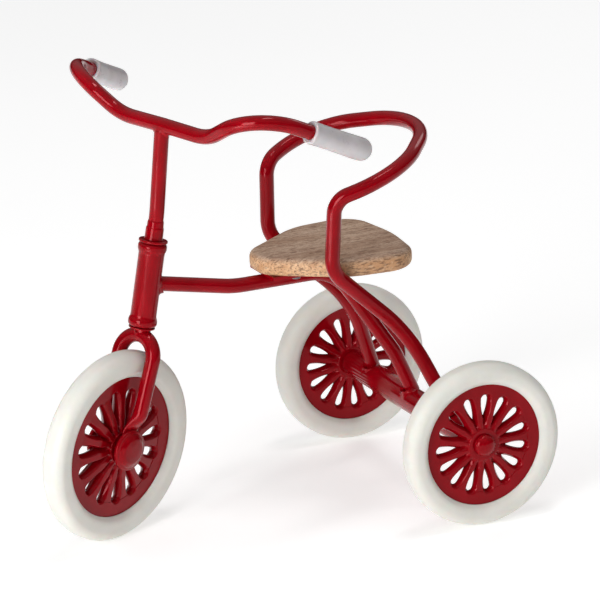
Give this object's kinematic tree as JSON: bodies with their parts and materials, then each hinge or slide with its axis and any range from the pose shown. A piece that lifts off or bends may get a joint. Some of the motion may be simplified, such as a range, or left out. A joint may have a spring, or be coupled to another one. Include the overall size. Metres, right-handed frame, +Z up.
{
  "type": "miniature tricycle",
  "caption": "Doll's tricycle of bent red steel wire with a wooden seat, a curved backrest loop, a swept handlebar with soft grips, slotted disc wheels and pale solid tyres.",
  "frame": {"origin": "middle of the bottom of the box round the tricycle, on the plane that the three tyres stand on", "axes": "+Z up, -Y forward, +X to the rider's left; the rear axle lies along X; the front end is stored turned 25.3 degrees to the rider's left, as it was standing"},
  "size_m": [0.0832, 0.1146, 0.1044],
  "materials": {
    "red_paint": "deep glossy red enamel",
    "white_tyre": "milky white satin",
    "grip": "soft translucent grey-white sleeve",
    "seat_wood": "bare pale hardwood",
    "steel": "plain turned steel",
    "bush": "plain moulded bush"
  },
  "bodies": {
    "frame": {"back_loop": "red_paint", "main_tube": "red_paint", "rear_axle_tube": "red_paint", "head_tube": "red_paint", "seat_plate": "red_paint", "seat": "seat_wood", "seat_screws": "steel", "rear_axle_pin": "steel", "rear_cap_left": "red_paint", "rear_cap_right": "red_paint", "rear_washer_left": "red_paint", "rear_washer_right": "red_paint"},
    "steering": {"fork": "red_paint", "stem": "red_paint", "stem_collar": "red_paint", "head_washer_upper": "red_paint", "head_washer_lower": "red_paint", "handlebar": "red_paint", "grip_left": "grip", "grip_right": "grip", "front_axle_pin": "steel", "front_cap_left": "red_paint", "front_cap_right": "red_paint"},
    "front_wheel": {"front_disc": "red_paint", "front_tyre": "white_tyre", "front_hub_bush": "bush"},
    "rear_wheel_left": {"rear_left_disc": "red_paint", "rear_left_tyre": "white_tyre", "rear_left_hub_bush": "bush"},
    "rear_wheel_right": {"rear_right_disc": "red_paint", "rear_right_tyre": "white_tyre", "rear_right_hub_bush": "bush"}
  },
  "joints": [
    {"name": "steering", "type": "hinge", "parent": "frame", "child": "steering", "pos_m": [0.00364, -0.02673, 0.05695], "axis": [0, 0.19, 0.9818], "continuous": true},
    {"name": "front_wheel_spin", "type": "hinge", "parent": "steering", "child": "front_wheel", "pos_m": [0.00518, -0.03681, 0.02201], "axis": [0.9041, 0.4196, -0.0812], "continuous": true},
    {"name": "rear_wheel_left_spin", "type": "hinge", "parent": "frame", "child": "rear_wheel_left", "pos_m": [0.03794, 0.03835, 0.01901], "axis": [1, 0, 0], "continuous": true},
    {"name": "rear_wheel_right_spin", "type": "hinge", "parent": "frame", "child": "rear_wheel_right", "pos_m": [-0.03066, 0.03835, 0.01901], "axis": [1, 0, 0], "continuous": true}
  ]
}
